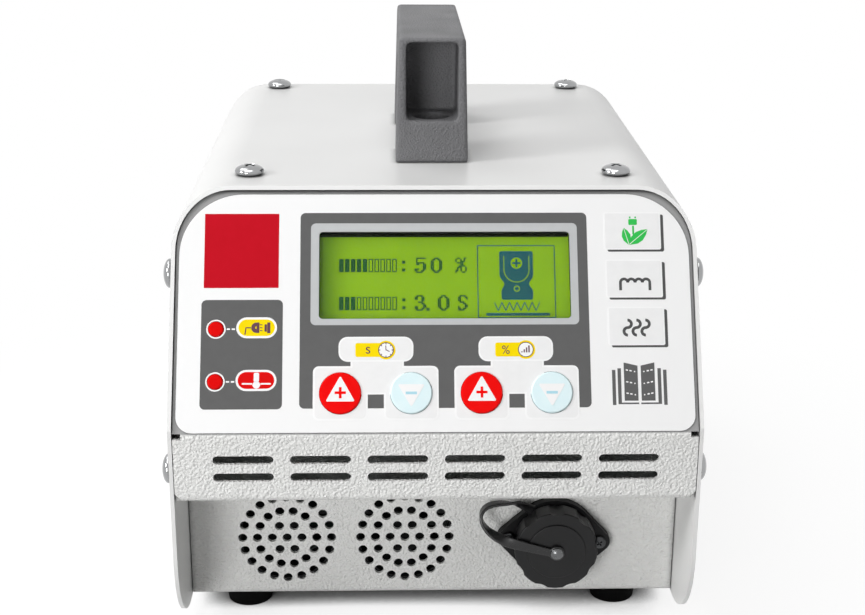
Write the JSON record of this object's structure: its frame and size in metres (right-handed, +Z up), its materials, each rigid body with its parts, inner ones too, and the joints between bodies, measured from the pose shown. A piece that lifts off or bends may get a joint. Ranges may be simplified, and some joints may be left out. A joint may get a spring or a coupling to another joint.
{
  "type": "induction dent remover",
  "caption": "Bench power unit of an induction dent remover: folded metal case with slanted control face, display, keys, fan grilles, capped output socket and bridge handle.",
  "frame": {"origin": "centre of the footprint on the floor", "axes": "+X to the right of a person facing the control face, +Y to the rear, +Z up; the front faces -Y"},
  "size_m": [0.208, 0.2618, 0.2285],
  "materials": {
    "white_powder_coat": "satin",
    "textured_powder_coat": "wrinkle",
    "printed_film": "satin printed film",
    "clear_plastic": "clear",
    "steel_plate": "bright",
    "display_green": "backlit",
    "green_board": "solder mask",
    "zinc_steel": "zinc plated",
    "black_nylon": "moulded",
    "red_key": "moulded",
    "blue_key": "moulded",
    "red_lens": "clear red",
    "black_alloy": "black coated",
    "black_rubber": "moulded",
    "grey_insert": "moulded",
    "brass_contact": "plated",
    "chrome_screw": "polished",
    "handle_plastic": "grained",
    "plain_aluminium": "extruded",
    "ferrite": "sintered",
    "copper_tape": "taped winding",
    "capacitor_sleeve": "shrink sleeve",
    "film_box": "boxed",
    "copper_wire": "enamelled wire"
  },
  "bodies": {
    "root": {"base_tray": "textured_powder_coat", "board_posts": "zinc_steel", "bridge_rectifier": "black_nylon", "bus_capacitors": "capacitor_sleeve", "cap_strap": "black_rubber", "case_screws": "chrome_screw", "choke_core": "ferrite", "choke_windings": "copper_wire", "control_board": "green_board", "control_overlay": "printed_film", "control_standoffs": "zinc_steel", "cover": "white_powder_coat", "display_window": "clear_plastic", "fan_bracket": "zinc_steel", "fan_frame_left": "black_nylon", "fan_frame_right": "black_nylon", "fan_screws": "zinc_steel", "feet": "black_rubber", "film_capacitors": "film_box", "foot_screws": "zinc_steel", "front_sheet": "textured_powder_coat", "handle": "handle_plastic", "handle_nuts": "zinc_steel", "handle_screws": "zinc_steel", "heatsink": "plain_aluminium", "indicator_lamps": "red_lens", "inlet_pins": "brass_contact", "inlet_screws": "zinc_steel", "key_switches": "black_nylon", "lcd_bezel": "steel_plate", "lcd_board": "green_board", "lcd_glass": "display_green", "lower_front_panel": "textured_powder_coat", "output_socket": "black_alloy", "power_board": "green_board", "power_inlet": "black_nylon", "rear_panel": "textured_powder_coat", "rocker_housing": "black_nylon", "socket_contacts": "brass_contact", "socket_gasket": "black_rubber", "socket_insert": "grey_insert", "socket_screws": "chrome_screw", "soft_start_relay": "black_nylon", "transformer_core": "ferrite", "transformer_winding": "copper_tape", "transistors": "black_nylon"},
    "key_time_up": {"key_time_up": "red_key"},
    "key_time_down": {"key_time_down": "blue_key"},
    "key_power_up": {"key_power_up": "red_key"},
    "key_power_down": {"key_power_down": "blue_key"},
    "fan_rotor_left": {"fan_rotor_left": "black_nylon"},
    "fan_rotor_right": {"fan_rotor_right": "black_nylon"},
    "cap_carrier": {"cap_rivet": "zinc_steel"},
    "screw_cap": {"screw_cap": "black_nylon", "cap_seal": "black_rubber"},
    "rocker": {"rocker": "black_nylon"},
    "fuse_drawer": {"fuse_drawer": "black_nylon"}
  },
  "joints": [
    {"name": "key_time_up_press", "type": "slide", "parent": "root", "child": "key_time_up", "axis": [0, 0.866, -0.5], "range_m": [0, 0.0006], "stiffness_N_per_m": 500},
    {"name": "key_time_down_press", "type": "slide", "parent": "root", "child": "key_time_down", "axis": [0, 0.866, -0.5], "range_m": [0, 0.0006], "stiffness_N_per_m": 500},
    {"name": "key_power_up_press", "type": "slide", "parent": "root", "child": "key_power_up", "axis": [0, 0.866, -0.5], "range_m": [0, 0.0006], "stiffness_N_per_m": 500},
    {"name": "key_power_down_press", "type": "slide", "parent": "root", "child": "key_power_down", "axis": [0, 0.866, -0.5], "range_m": [0, 0.0006], "stiffness_N_per_m": 500},
    {"name": "fan_spin_left", "type": "hinge", "parent": "root", "child": "fan_rotor_left", "pos_m": [-0.0592, -0.09172, 0.0335], "axis": [0, 1, 0], "continuous": true},
    {"name": "fan_spin_right", "type": "hinge", "parent": "root", "child": "fan_rotor_right", "pos_m": [-0.0114, -0.09172, 0.0335], "axis": [0, 1, 0], "continuous": true},
    {"name": "cap_travel", "type": "slide", "parent": "root", "child": "cap_carrier", "axis": [0, -1, 0], "range_m": [0, 0.006], "deforming": ["cap_strap"]},
    {"name": "cap_turn", "type": "hinge", "parent": "cap_carrier", "child": "screw_cap", "pos_m": [0.049, -0.10792, 0.0335], "axis": [0, -1, 0], "range_deg": [0, 1080]},
    {"name": "switch_rock", "type": "hinge", "parent": "root", "child": "rocker", "pos_m": [0.052, 0.12608, 0.046], "axis": [1, 0, 0], "range_deg": [0, 20]},
    {"name": "fuse_drawer_slide", "type": "slide", "parent": "root", "child": "fuse_drawer", "axis": [0, 1, 0], "range_m": [0, 0.018]}
  ],
  "couplings": [
    {"joint": "cap_travel", "follows": "cap_turn", "m_per_rad": 0.000318}
  ]
}
